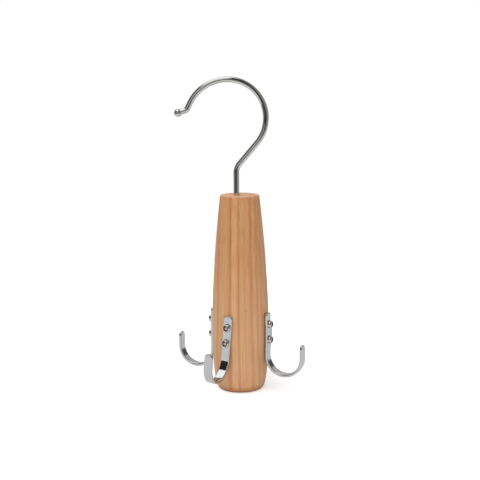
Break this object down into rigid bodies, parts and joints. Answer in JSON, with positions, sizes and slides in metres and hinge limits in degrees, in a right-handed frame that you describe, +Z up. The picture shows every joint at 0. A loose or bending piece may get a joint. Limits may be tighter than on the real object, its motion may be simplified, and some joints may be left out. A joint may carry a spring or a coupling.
{
  "type": "multi-hook hanger",
  "caption": "Turned wooden hanger body with a swivelling wire hook to hang it by and flat J hooks screwed round its lower end.",
  "frame": {"origin": "centre of the turned body's flat foot, on the body's own axis", "axes": "+Z up along the turned body's axis, -Y towards the front J hook, +X towards the right J hook; the hanging hook's plane is stored turned 25.8 degrees from +X towards +Y, as pictured"},
  "size_m": [0.0838, 0.0838, 0.19],
  "materials": {
    "wood": "satin clear finish on straight-grained softwood",
    "wire": "bright chrome plate on steel wire",
    "strip": "bright nickel plate on bent steel strip",
    "screws": "bright nickel plate, slightly warm",
    "brad": "plain drawn steel"
  },
  "bodies": {
    "hanger": {"wooden_body": "wood", "swivel_brad": "brad", "j_hook_front": "strip", "j_hook_right": "strip", "j_hook_back": "strip", "j_hook_left": "strip", "screw_front_upper": "screws", "screw_front_lower": "screws", "screw_right_upper": "screws", "screw_right_lower": "screws", "screw_back_upper": "screws", "screw_back_lower": "screws", "screw_left_upper": "screws", "screw_left_lower": "screws"},
    "hanging_hook": {"swivel_hook": "wire"}
  },
  "joints": [
    {"name": "hook_swivel", "type": "hinge", "parent": "hanger", "child": "hanging_hook", "pos_m": [-0.00171, -0.00083, 0.1195], "axis": [0, 0, 1], "continuous": true}
  ]
}
